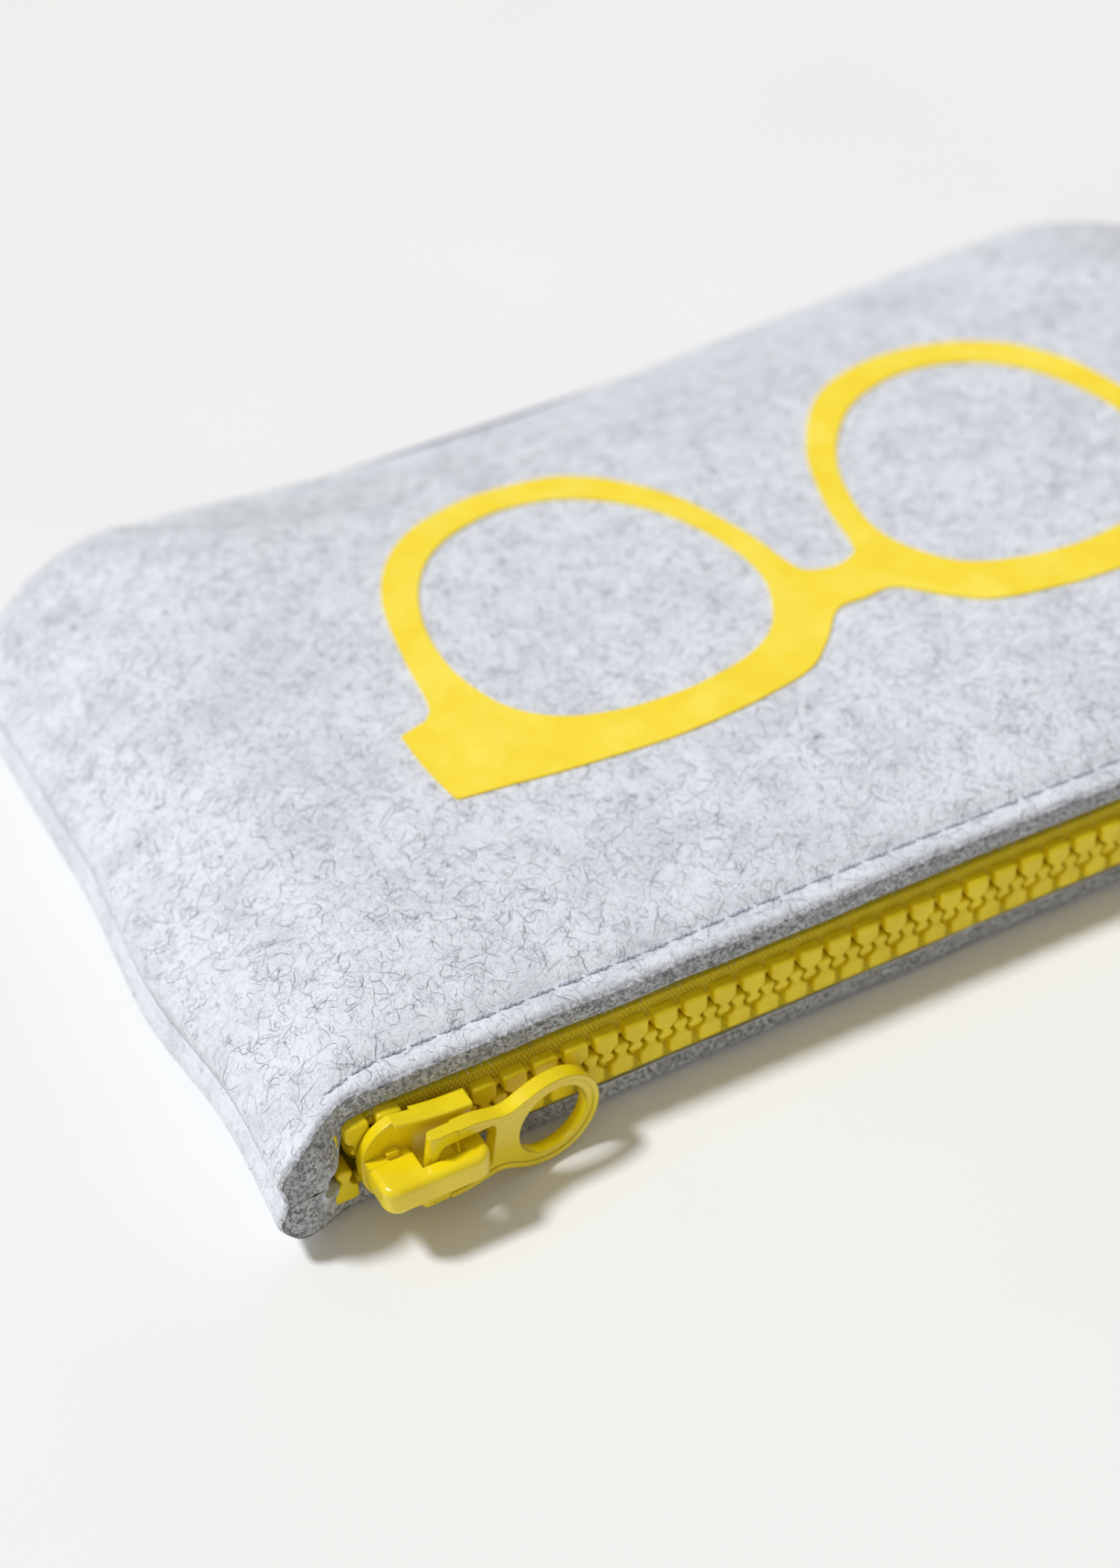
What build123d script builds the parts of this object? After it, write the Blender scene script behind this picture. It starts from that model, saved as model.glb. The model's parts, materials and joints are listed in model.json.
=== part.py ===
"""Soft felt glasses pouch, lying flat on its back panel, with a moulded-tooth zip along one long side.

Frame: +X runs along the zip, the zip faces -Y, +Z is up. The origin is the centre of the resting face.
Two felt panels meet at mid height in a turned seam round three sides. The zip closes the fourth side,
with its slider at the -X end when the pouch is shut.
"""
import os
from math import cos, radians, sin

from build123d import *

os.makedirs("parts", exist_ok=True)

# Pouch
pouch_length = 170.0
pouch_depth = 98.0
pouch_height = 14.4
felt = 2.3
corner_radius = 26.0
roll_radius = 6.2
lip_setback = 1.7
seam_gap = 0.1
allowance_width = 4.0
allowance_start = 6.0
furrow_width = 0.8
furrow_depth = 0.5
stitch_inset = 2.0
thread = 0.5
seam_inset = 1.6

# Zip
pitch = 3.15
front_tooth_count = 51
back_tooth_count = 50
tooth_width = 2.45
tooth_thickness = 2.8
tooth_reach = 2.9
shoulder_z = 1.35
root_z = 0.86
neck_width = 0.86
head_width = 1.84
head_near = 0.06
head_far = 0.78
head_round = 0.22
cord_radius = 0.5
cord_z = 1.7
tape = 0.6
tape_inside = 13.0
tape_end = 81.8
moulding_gap = 0.05
row_spread = 1.6
room_slack = 0.6
tooth_top_round = 0.35
tooth_face_chamfer = 0.12
stop_start = 80.3
top_stop_length = 1.4
bottom_stop_length = 2.0
stop_round = 0.5

# Slider, in its own terms: along the zip, up, and out from the zip plane
slider_x = -70.6
slider_half = 5.5
spread_start = 1.3
wing_near = 1.6
wing_far = 2.8
wing_shoulder_x = -2.2
wing_shoulder = 4.9
wing_waist_x = 2.4
wing_waist = 4.0
wing_tail = 3.8
inner_wing_shoulder = 4.1
inner_wing_waist = 3.8
inner_wing_tail = 3.7
nose_share_x = 0.84
nose_share_z = 0.66
flange_near = 1.2
flange_inside = 3.12
rail_height = 0.5
rail_width = 0.7
rail_round = 0.2
wedge_nose_x = -5.2
wedge_wide_x = -4.5
wedge_narrow_x = -3.1
wedge_tip_x = -1.6
wedge_half_width = 0.7
wedge_tip_half_width = 0.1
crown_half_width = 1.55
crown_half_length = 5.3
crown_nose_leg = 4.3
crown_tail_leg = 2.1
crown_foot = 3.9
crown_inside = 6.05
crown_top = 7.7
crown_round = 1.5
crown_edge_round = 0.7
post_half_width = 1.4
post_overlap = 0.2
lug_x = -2.7
lug_length = 1.2
lug_out = 0.45
lug_height = 0.8
leaf = 0.3
leaf_x = -0.2
leaf_length = 6.6
leaf_half_width = 1.0
leaf_room = 0.2
recess_depth = 1.15
pin_x = -2.4
pin_size = 0.5
pin_room = 0.15

# Pull tab
hinge_out = 5.2
pull_droop = 8.0
pull_lean = 8.0
pull_thickness = 1.3
pull_half_width = 4.2
leg_end = 3.2
waist_x = 7.6
waist_half_width = 3.5
window_start = 0.45
window_end = 6.6
window_half_width = 2.75
window_round = 0.8
ring_centre = 13.2
ring_radius = 5.1
ring_hole_radius = 3.8
rim_start = 2.2
rim_width = 0.6
rim_height = 0.15

# Picture on the front panel, from the middle of its bridge to one temple
film = 0.3
bridge_near = -15.2
bridge_far = -9.2
bridge_shoulder = (2.2, -8.8)
brow_points = [(4.4, -14.9), (12.0, -22.3), (24.6, -24.5), (50.7, -21.9)]
temple_direction = (1, 0.14)
temple_points = [(51.4, -10.7), (48.3, -9.9), (46.9, -7.4)]
rim_directions = ((-0.1, 1), (-0.1, -1))
rim_points = [(43.5, 10.0), (26.7, 21.7), (8.4, 9.4), (3.8, -7.4)]
lens_points = [(7.3, -4.0), (8.9, -11.2), (13.6, -16.4), (23.6, -18.8), (34.4, -17.2), (40.3, -12.0),
               (42.5, -3.0), (40.6, 7.0), (35.2, 14.4), (26.4, 17.4), (17.2, 14.6), (10.3, 6.6)]

mid_z = pouch_height / 2
zip_y = -pouch_depth / 2
lip_y = zip_y + lip_setback


def zip_plane(x, out):
    """Plane facing out of the mouth: local x along the zip, local y up, centred on the chain."""
    return Plane(origin=(x, zip_y - out, mid_z), x_dir=(1, 0, 0), z_dir=(0, -1, 0))


def zip_section(x):
    """Plane across the zip: local x into the pouch, local y up, centred on the chain."""
    return Plane(origin=(x, zip_y, mid_z), x_dir=(0, 1, 0), z_dir=(1, 0, 0))


def spread(x, lag):
    """How far a row of teeth stands off its closed place, ahead of the slider."""
    share = min(max((slider_x + spread_start - lag - x) / pitch, 0), 1)
    return row_spread * share * share * (3 - 2 * share)


def save(piece, name):
    piece.part.label = name
    export_step(piece.part, f"parts/{name}.step")


# ---------------------------------------------------------------- felt panels


def pouch_outline(inset, front_y):
    """Plan outline inset from the seam edge, with round back corners and a straight front."""
    half = pouch_length / 2 - inset
    back = pouch_depth / 2 - inset
    radius = corner_radius - inset
    with BuildSketch(mode=Mode.PRIVATE) as outline:
        with BuildLine():
            left = Line((-half, front_y), (-half, back - radius))
            turn = RadiusArc(left @ 1, (-half + radius, back), radius)
            far = Line(turn @ 1, (half - radius, back))
            back_turn = RadiusArc(far @ 1, (half, back - radius), radius)
            right = Line(back_turn @ 1, (half, front_y))
            Line(right @ 1, left @ 0)
        make_face()
    return outline.sketch


def seam_path():
    """Line of the hidden seam stitches, round three sides inside the turned edge."""
    inset = felt + seam_inset
    half = pouch_length / 2 - inset
    back = pouch_depth / 2 - inset
    radius = corner_radius - inset
    start_y = lip_y + allowance_start + seam_inset
    with BuildLine(Plane.XY.offset(mid_z)) as path:
        left = Line((-half, start_y), (-half, back - radius))
        turn = RadiusArc(left @ 1, (-half + radius, back), radius)
        far = Line(turn @ 1, (half - radius, back))
        back_turn = RadiusArc(far @ 1, (half, back - radius), radius)
        Line(back_turn @ 1, (half, start_y))
    return path


def seam_cord(radius):
    """Round cord along the seam path."""
    with BuildPart() as cord:
        path = seam_path()
        add(path.line)
        with BuildSketch(Plane(origin=path.line @ 0, z_dir=path.line % 0)):
            Circle(radius)
        sweep()
    return cord.part


inside_radius = roll_radius - felt
wall_top = mid_z - seam_gap / 2

with BuildPart() as back_panel:
    with BuildSketch():
        add(pouch_outline(0, lip_y))
    extrude(amount=wall_top)
    resting_edges = back_panel.faces().sort_by(Axis.Z)[0].edges().sort_by(Axis.Y)[1:]
    fillet(resting_edges, roll_radius)
    # The pocket is open to the front.
    with BuildSketch(Plane.XY.offset(felt)):
        add(pouch_outline(felt, lip_y))
    extrude(amount=mid_z, mode=Mode.SUBTRACT)
    floor_edges = back_panel.faces().filter_by(Plane.XY).sort_by(Axis.Z)[1].edges().sort_by(Axis.Y)[1:]
    fillet(floor_edges, inside_radius)
    # Seam allowance, a felt strip that points inwards from the seam.
    with BuildSketch(Plane.XY.offset(wall_top - felt)):
        add(pouch_outline(felt - seam_gap, lip_y + allowance_start))
        add(pouch_outline(felt + allowance_width, lip_y + allowance_start), mode=Mode.SUBTRACT)
    extrude(amount=felt)
    add(seam_cord(thread / 2 + seam_gap), mode=Mode.SUBTRACT)
    # Furrow pressed in along the mouth by the topstitching.
    with BuildSketch(Plane.XY):
        with Locations((0, lip_y + stitch_inset)):
            Rectangle(pouch_length - 2 * roll_radius, furrow_width)
    extrude(amount=furrow_depth, mode=Mode.SUBTRACT)
save(back_panel, "felt_back_panel")

with BuildPart() as front_panel:
    mirror(back_panel.part, about=Plane.XY.offset(mid_z))
save(front_panel, "felt_front_panel")

# ---------------------------------------------------------------- threads

with BuildPart() as seam_thread:
    add(seam_cord(thread / 2))
save(seam_thread, "seam_thread")

stitch_length = pouch_length - 2 * roll_radius - 2
with BuildPart() as back_topstitch:
    with BuildSketch(Plane(origin=(-stitch_length / 2, lip_y + stitch_inset, thread / 2), z_dir=(1, 0, 0))):
        Circle(thread / 2 - 0.01)
    extrude(amount=stitch_length)
save(back_topstitch, "back_topstitch")

with BuildPart() as front_topstitch:
    mirror(back_topstitch.part, about=Plane.XY.offset(mid_z))
save(front_topstitch, "front_topstitch")

# ---------------------------------------------------------------- zip tapes, cords and teeth

lip_inside = mid_z - felt
tape_top = lip_inside - moulding_gap
tape_edge = cord_z + cord_radius
tape_half = pouch_length / 2 - felt - inside_radius - seam_gap


def draw_row_line(height, lag):
    """Draw the line of a row at a height off the chain centre, standing off further where the row spreads."""
    spread_end = slider_x + spread_start - lag - pitch
    rising = [spread_end + pitch * step / 6 for step in range(7)]
    Line((-tape_end, height + row_spread), (spread_end, height + row_spread))
    rise = Spline(*[(x, height + spread(x, lag)) for x in rising], tangents=((1, 0), (1, 0)))
    Line(rise @ 1, (tape_end, height))


def tape_cord(lag):
    """Cord along the edge of a tape, which the teeth grip."""
    with BuildPart() as cord:
        with BuildLine(zip_plane(0, 0)) as path:
            draw_row_line(cord_z, lag)
        with BuildSketch(Plane(origin=path.line @ 0, z_dir=path.line % 0)):
            Circle(cord_radius)
        sweep()
    return cord


def zip_tape(lag):
    """Tape with an upright edge at the teeth, folded back to lie inside the lip."""
    with BuildPart() as strip:
        with BuildSketch(zip_plane(0, -tape / 2)):
            with BuildLine():
                draw_row_line(tape_edge, lag)
                Polyline((tape_end, tape_edge), (tape_end, tape_top - tape), (tape_half, tape_top - tape),
                         (tape_half, tape_top), (-tape_half, tape_top), (-tape_half, tape_top - tape),
                         (-tape_end, tape_top - tape), (-tape_end, tape_edge + row_spread))
            make_face()
        extrude(amount=tape)
        with BuildSketch(zip_section(-tape_half)):
            with Locations((-tape / 2, tape_top)):
                Rectangle(tape_inside, tape, align=(Align.MIN, Align.MAX))
        extrude(amount=2 * tape_half)
    return strip


back_lag = pitch / 2
chain_middle = Plane.XY.offset(mid_z)
front_tape = zip_tape(0)
save(front_tape, "front_tape")
front_tape_cord = tape_cord(0)
save(front_tape_cord, "front_tape_cord")
with BuildPart() as back_tape:
    mirror(zip_tape(back_lag).part, about=chain_middle)
save(back_tape, "back_tape")
with BuildPart() as back_tape_cord:
    mirror(tape_cord(back_lag).part, about=chain_middle)
save(back_tape_cord, "back_tape_cord")


def tape_room(x, length, rise, slack):
    """Room for the tape and its cord through a tooth or a stop; slack lets the cord ride up and down."""
    with BuildPart() as room:
        with BuildSketch(zip_section(x)):
            with Locations((0, cord_z + rise)):
                SlotCenterToCenter(2 * slack, 2 * (cord_radius + moulding_gap), rotation=90)
                Rectangle(tape + 2 * moulding_gap, tooth_reach, align=(Align.CENTER, Align.MIN))
        extrude(amount=length)
    return room.part


tooth_room = tape_room(-tooth_width, 2 * tooth_width, 0, room_slack)
inner_reach = tape_top - tape - row_spread - moulding_gap


with BuildPart() as tooth:
    with BuildSketch(zip_plane(0, -tooth_thickness / 2)):
        with BuildLine():
            Polyline((-neck_width / 2, -head_far + head_round), (-neck_width / 2, root_z),
                     (-tooth_width / 2, shoulder_z), (-tooth_width / 2, tooth_reach),
                     (tooth_width / 2, tooth_reach), (tooth_width / 2, shoulder_z),
                     (neck_width / 2, root_z), (neck_width / 2, -head_far + head_round), close=True)
        make_face()
        with Locations((0, -(head_far + head_near) / 2)):
            RectangleRounded(head_width, head_far - head_near, head_round)
    extrude(amount=tooth_thickness)
    fillet(tooth.edges().filter_by(Axis.Y).group_by(Axis.Z)[-1], tooth_top_round)
    front_rim = tooth.faces().sort_by(Axis.Y)[0].edges()
    chamfer(front_rim, tooth_face_chamfer)
    add(tooth_room, mode=Mode.SUBTRACT)
    # The inner half of the tooth is lower, to pass under the folded tape.
    with BuildSketch(zip_section(-tooth_width)):
        with Locations((0, inner_reach)):
            Rectangle(tooth_thickness, tooth_reach, align=Align.MIN)
    extrude(amount=2 * tooth_width, mode=Mode.SUBTRACT)


def tooth_row(count, lag):
    """A row of teeth centred on the zip, with its first teeth spread ahead of the slider."""
    xs = [(index - (count - 1) / 2) * pitch for index in range(count)]
    with BuildPart() as row:
        with Locations(*[(x, 0, spread(x, lag)) for x in xs]):
            add(tooth.part)
    return row


front_teeth = tooth_row(front_tooth_count, 0)
save(front_teeth, "front_teeth")
with BuildPart() as back_teeth:
    mirror(tooth_row(back_tooth_count, back_lag).part, about=chain_middle)
save(back_teeth, "back_teeth")

# ---------------------------------------------------------------- stops

top_stop_x = -stop_start - top_stop_length
top_stop_room = tape_room(top_stop_x, top_stop_length, row_spread, moulding_gap)
with BuildPart() as front_top_stop:
    with BuildSketch(zip_plane(top_stop_x, -tooth_thickness / 2)):
        with Locations((0, root_z + row_spread)):
            Rectangle(top_stop_length, tooth_reach - root_z, align=Align.MIN)
    extrude(amount=tooth_thickness)
    fillet(front_top_stop.edges().filter_by(Axis.X), stop_round)
    add(top_stop_room, mode=Mode.SUBTRACT)
save(front_top_stop, "front_top_stop")

with BuildPart() as back_top_stop:
    mirror(front_top_stop.part, about=chain_middle)
save(back_top_stop, "back_top_stop")

bottom_stop_room = tape_room(stop_start, bottom_stop_length, 0, moulding_gap)
with BuildPart() as half_stop:
    with BuildSketch(zip_plane(stop_start, -tooth_thickness / 2)):
        Rectangle(bottom_stop_length, tooth_reach, align=Align.MIN)
    extrude(amount=tooth_thickness)
    fillet(half_stop.edges().filter_by(Axis.X).group_by(Axis.Z)[-1], stop_round)
    add(bottom_stop_room, mode=Mode.SUBTRACT)
with BuildPart() as bottom_stop:
    add(half_stop.part)
    mirror(half_stop.part, about=chain_middle)
save(bottom_stop, "bottom_stop")

# ---------------------------------------------------------------- slider


def wing_outline(shoulder, waist, tail):
    """Shield shape of a slider wing: slightly waisted tail, wide shoulders, round nose."""
    with BuildSketch(mode=Mode.PRIVATE) as wing:
        with BuildLine():
            tail_edge = Line((slider_half, 0), (slider_half, tail))
            side = Spline(tail_edge @ 1, (wing_waist_x, waist), (wing_shoulder_x, shoulder))
            ThreePointArc(side @ 1, (-nose_share_x * slider_half, nose_share_z * shoulder), (-slider_half, 0))
            mirror(about=Plane.XZ)
        make_face()
    return wing.sketch


def wing_plate(outline, start, end):
    """Plate of a wing, from one distance out to another."""
    with BuildPart() as plate:
        with BuildSketch(zip_plane(slider_x, start)):
            add(outline)
        extrude(amount=end - start)
    return plate.part


def flange(outline, start, end):
    """Side walls under a wing's tail, outside the rows of teeth."""
    with BuildPart() as walls:
        with BuildSketch(zip_plane(slider_x, start)):
            add(outline)
            Rectangle(2 * slider_half, 2 * flange_inside, mode=Mode.SUBTRACT)
            Rectangle(slider_half, 2 * wing_shoulder, align=(Align.MIN, Align.CENTER), mode=Mode.INTERSECT)
        extrude(amount=end - start)
    return walls.part


def wing_side(inset):
    """Draw the side line of the outer wing, from its tail to its shoulder, inset by a distance."""
    return Spline((slider_half, wing_tail - inset), (wing_waist_x, wing_waist - inset),
                  (wing_shoulder_x, wing_shoulder - inset))


def rails():
    """Raised rails along both sides of the outer wing, behind its shoulders."""
    with BuildPart() as raised:
        with BuildSketch(zip_plane(slider_x, wing_far)):
            with BuildLine():
                outer = wing_side(0)
                inner = wing_side(rail_width)
                Line(outer @ 0, inner @ 0)
                Line(outer @ 1, inner @ 1)
            make_face()
            mirror(about=Plane.XZ)
        extrude(amount=rail_height)
        fillet(raised.faces().sort_by(Axis.Y)[0:2].edges(), rail_round)
    return raised.part


outer_wing = wing_outline(wing_shoulder, wing_waist, wing_tail)
inner_wing = wing_outline(inner_wing_shoulder, inner_wing_waist, inner_wing_tail)

with BuildPart() as slider_body:
    add(wing_plate(outer_wing, wing_near, wing_far))
    add(rails())
    add(wing_plate(inner_wing, -wing_far, -wing_near))
    add(flange(outer_wing, flange_near, wing_near))
    add(flange(inner_wing, -wing_near, -flange_near))
    # The wedge between the wings parts the two rows.
    with BuildSketch(zip_plane(slider_x, -wing_near)):
        with BuildLine():
            Polyline((wedge_nose_x, 0), (wedge_wide_x, wedge_half_width), (wedge_narrow_x, wedge_half_width),
                     (wedge_tip_x, wedge_tip_half_width), (wedge_tip_x, 0))
            mirror(about=Plane.XZ)
        make_face()
    extrude(amount=2 * wing_near)
    # Posts that the crown is clinched onto, with a lug on each side.
    with BuildSketch(zip_plane(slider_x, wing_far - post_overlap)):
        with Locations((-crown_half_length + crown_nose_leg / 2, 0)):
            Rectangle(crown_nose_leg - post_overlap, 2 * post_half_width)
        with Locations((crown_half_length - crown_tail_leg / 2, 0)):
            Rectangle(crown_tail_leg - post_overlap, 2 * post_half_width)
    extrude(amount=crown_foot - wing_far + post_overlap)
    with BuildSketch(zip_plane(slider_x, wing_far - post_overlap)):
        with Locations((lug_x, 0)):
            Rectangle(lug_length, 2 * (crown_half_width + lug_out))
    extrude(amount=lug_height + post_overlap)
    with BuildSketch(zip_plane(slider_x, wing_near - 2 * moulding_gap)):
        with Locations((pin_x, 0)):
            Rectangle(pin_size + 2 * pin_room, 2 * (pin_size + pin_room))
    extrude(amount=crown_foot, mode=Mode.SUBTRACT)
save(slider_body, "slider_body")

crown_plane = Plane(origin=(slider_x, zip_y, mid_z - crown_half_width), x_dir=(1, 0, 0), z_dir=(0, 0, 1))
nose_inside = -crown_half_length + crown_nose_leg
tail_inside = crown_half_length - crown_tail_leg
with BuildPart() as slider_crown:
    with BuildSketch(crown_plane):
        with BuildLine():
            nose = Line((-crown_half_length, -crown_foot), (-crown_half_length, -crown_top + crown_round))
            nose_turn = RadiusArc(nose @ 1, (-crown_half_length + crown_round, -crown_top), -crown_round)
            top = Line(nose_turn @ 1, (crown_half_length - crown_round, -crown_top))
            tail_turn = RadiusArc(top @ 1, (crown_half_length, -crown_top + crown_round), -crown_round)
            Polyline(tail_turn @ 1, (crown_half_length, -crown_foot), (tail_inside, -crown_foot),
                     (tail_inside, -crown_inside), (nose_inside, -crown_inside),
                     (nose_inside, -crown_foot), nose @ 0)
        make_face()
    extrude(amount=2 * crown_half_width)
    side_faces = slider_crown.faces().filter_by(Axis.Z)
    outside_edges = side_faces.edges().filter_by(
        lambda edge: abs(edge.center().X - slider_x) > crown_half_length - crown_round
        or edge.center().Y < zip_y - crown_top + crown_edge_round)
    outside_edges = outside_edges.filter_by(lambda edge: edge.center().Y < zip_y - crown_foot - moulding_gap)
    fillet(outside_edges, crown_edge_round)
    # Recess for the lock leaf, with room for it to lift, and a channel for its pin.
    with BuildSketch(zip_plane(slider_x, crown_inside - leaf_room)):
        with Locations((leaf_x, 0)):
            Rectangle(leaf_length + 2 * leaf_room, 2 * (leaf_half_width + leaf_room))
    extrude(amount=recess_depth, mode=Mode.SUBTRACT)
    with BuildSketch(zip_plane(slider_x, crown_foot)):
        with Locations((pin_x, 0)):
            Rectangle(pin_size + 2 * pin_room, 2 * (pin_size + pin_room))
    extrude(amount=crown_inside - crown_foot, mode=Mode.SUBTRACT)
save(slider_crown, "slider_crown")

with BuildPart() as lock_spring:
    with BuildSketch(zip_plane(slider_x, crown_inside + moulding_gap)):
        with Locations((leaf_x, 0)):
            Rectangle(leaf_length, 2 * leaf_half_width)
    extrude(amount=leaf)
    with BuildSketch(zip_plane(slider_x, tooth_thickness / 2 + pin_room)):
        with Locations((pin_x, 0)):
            Rectangle(pin_size, 2 * pin_size)
    extrude(until=Until.NEXT)
save(lock_spring, "lock_spring")

# ---------------------------------------------------------------- pull tab

droop = radians(pull_droop)
lean = radians(pull_lean)
hinge = Vector(slider_x, zip_y - hinge_out, mid_z)
hinge_axis = Vector(sin(droop), 0, cos(droop))
pull_along = Vector(cos(droop) * cos(lean), sin(lean), -sin(droop) * cos(lean))
pull_facing = Vector(cos(droop) * sin(lean), -cos(lean), -sin(droop) * sin(lean))


def pull_plane(out):
    """Plane of the hanging tab: local x from the hinge to the tip, at a distance out from its mid plane."""
    return Plane(origin=hinge + pull_facing * out, x_dir=pull_along, z_dir=pull_facing)


def pull_outline(inset):
    """Outside of the tab, inset by a distance: two legs, a slight waist and a round end."""
    with BuildSketch(mode=Mode.PRIVATE) as outline:
        with BuildLine():
            leg = Line((inset, pull_half_width - inset), (leg_end, pull_half_width - inset))
            waist = Spline(leg @ 1, (waist_x, waist_half_width - inset), (ring_centre, ring_radius - inset),
                           tangents=((1, 0), (1, 0)))
            tip = (ring_centre + ring_radius - inset, 0)
            ThreePointArc(waist @ 1, tip, (ring_centre, -ring_radius + inset))
            mirror(leg, about=Plane.XZ)
            mirror(waist, about=Plane.XZ)
            Line((inset, pull_half_width - inset), (inset, -pull_half_width + inset))
        make_face()
    return outline.sketch


with BuildPart() as pull_tab:
    with BuildSketch(pull_plane(-pull_thickness / 2)):
        add(pull_outline(0))
        with Locations(((window_start + window_end) / 2, 0)):
            window_length = window_end - window_start
            RectangleRounded(window_length, 2 * window_half_width, window_round, mode=Mode.SUBTRACT)
        with Locations((ring_centre, 0)):
            Circle(ring_hole_radius, mode=Mode.SUBTRACT)
    extrude(amount=pull_thickness)
    # Bead round the outside, proud of both faces.
    with BuildSketch(pull_plane(-pull_thickness / 2 - rim_height)):
        add(pull_outline(0))
        add(pull_outline(rim_width), mode=Mode.SUBTRACT)
        with Locations((rim_start, 0)):
            Rectangle(2 * ring_centre, 2 * ring_radius, align=(Align.MIN, Align.CENTER), mode=Mode.INTERSECT)
    extrude(amount=pull_thickness + 2 * rim_height)
    with BuildSketch(Plane(origin=hinge - hinge_axis * pull_half_width, x_dir=(0, -1, 0), z_dir=hinge_axis)):
        Circle(pull_thickness / 2)
    extrude(amount=2 * pull_half_width)
save(pull_tab, "pull_tab")

# ---------------------------------------------------------------- glasses picture

with BuildPart() as glasses_motif:
    with BuildSketch(Plane.XY.offset(pouch_height)):
        with BuildLine():
            brow = Spline((0, bridge_near), *brow_points, tangents=((1, 0), temple_direction))
            temple = Polyline(brow @ 1, *temple_points)
            rim = Spline(temple @ 1, *rim_points, tangents=rim_directions)
            ThreePointArc(rim @ 1, bridge_shoulder, (0, bridge_far))
            mirror(about=Plane.YZ)
        make_face()
        for side in (-1, 1):
            with BuildLine():
                Spline(*[(side * x, y) for x, y in lens_points], periodic=True)
            make_face(mode=Mode.SUBTRACT)
    extrude(amount=film)
save(glasses_motif, "glasses_motif")
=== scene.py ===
"""Looks for the soft felt glasses pouch: felt, zip, slider, stitching and picture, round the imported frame.

Lengths below are millimetres in the row frame. They become metres when a mesh is made.
"""
import json
import math

import bpy
import numpy as np
from mathutils import Matrix, Vector, noise
from mathutils.bvhtree import BVHTree
from mathutils.geometry import delaunay_2d_cdt


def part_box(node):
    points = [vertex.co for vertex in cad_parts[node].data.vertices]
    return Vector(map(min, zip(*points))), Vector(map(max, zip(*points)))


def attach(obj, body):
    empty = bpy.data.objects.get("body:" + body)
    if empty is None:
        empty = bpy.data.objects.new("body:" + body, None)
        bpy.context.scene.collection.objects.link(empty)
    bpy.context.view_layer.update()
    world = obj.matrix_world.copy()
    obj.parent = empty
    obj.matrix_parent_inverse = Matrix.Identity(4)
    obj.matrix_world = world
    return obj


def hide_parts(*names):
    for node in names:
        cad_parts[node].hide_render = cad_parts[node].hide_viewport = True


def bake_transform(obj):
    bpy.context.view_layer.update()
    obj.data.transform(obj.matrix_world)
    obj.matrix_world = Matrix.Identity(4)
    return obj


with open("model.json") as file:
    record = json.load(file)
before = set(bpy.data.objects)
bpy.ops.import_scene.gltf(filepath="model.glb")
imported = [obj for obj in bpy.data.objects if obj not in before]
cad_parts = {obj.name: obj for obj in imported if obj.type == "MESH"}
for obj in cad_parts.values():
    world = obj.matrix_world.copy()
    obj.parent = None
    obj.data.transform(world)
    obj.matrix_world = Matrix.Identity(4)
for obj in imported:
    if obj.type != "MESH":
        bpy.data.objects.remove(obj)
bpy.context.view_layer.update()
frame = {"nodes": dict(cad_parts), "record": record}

MM = 0.001


def node_box(name):
    """Lowest and highest corner of a CAD node, in millimetres."""
    low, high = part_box(name)
    return np.array(low) / MM, np.array(high) / MM


joints = {joint["name"]: joint for joint in frame["record"]["behaviour"]["joints"]}
panel_high = node_box("felt_front_panel")[1]
teeth_low, teeth_high = node_box("front_teeth")
tape_end = node_box("front_tape")[1][0]
hinge_point = np.array(joints["pull_swing"]["pos_m"]) / MM

# Pouch
half_length, back_y, height = panel_high
mid_z = hinge_point[2]
zip_y = (teeth_low[1] + teeth_high[1]) / 2
lip_y = zip_y - 0.1
corner_radius = 26.0
felt = 2.45
roll_width = 8.5
back_roll = 8.0
back_slope = 24.0
seam_dip = 0.9
seam_gap = 0.03
top_belly = 0.6
bottom_belly = 2.0
end_forward = 2.8
end_thicker = 2.7
# Relief of the felt: size of the lumps, how far they stand out, and the seed of their noise
felt_lumps = ((26.0, 0.30, 1), (5.0, 0.10, 4), (1.6, 0.05, 9))

# Stitching
stitch_y = lip_y + 2.5
stitch_run_out = 1.6
stitch_length = 2.75
stitch_gap = 0.25
stitch_start = 7.5
stitch_stop = 9.0
stitch_arch = 0.20
stitch_sink = 0.16
ply_radius = 0.13
ply_offset = 0.09
ply_twist = 2.6 * math.pi
furrow_depth = 0.45
furrow_width = 0.75

# Loose fibres: how many, and the least and the most of each size
front_fibres = 19000
back_fibres = 7000
fibre_length = (0.8, 3.6)
fibre_width = (0.010, 0.024)
lip_hairs = 2200
hair_reach = (0.15, 0.45)
hair_width = (0.012, 0.025)

# Glasses picture
film_lift = 0.24
film_skirt = 0.2
film_mesh = 0.8

# Zip
slider_x = hinge_point[0]
pitch = 3.15
front_count = 51
back_count = 50
row_spread = 1.6
spread_start = 1.3
cord_z = 1.7
cord_radius = 0.5
cord_wrap = 0.62
tape_thickness = 0.48
tape_bend = 4.3
tape_level = 4.55
tape_short = 2.0
tape_depth = 13.0
weave_pitch = 0.44
rib_low = 0.05
rib_high = 0.08


# ------------------------------------------------------------------------------- mesh helpers


def grid_quads(ids):
    """Quads between neighbouring rows and columns of point numbers."""
    return np.stack([ids[:-1, :-1], ids[1:, :-1], ids[1:, 1:], ids[:-1, 1:]], -1).reshape(-1, 4)


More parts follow.
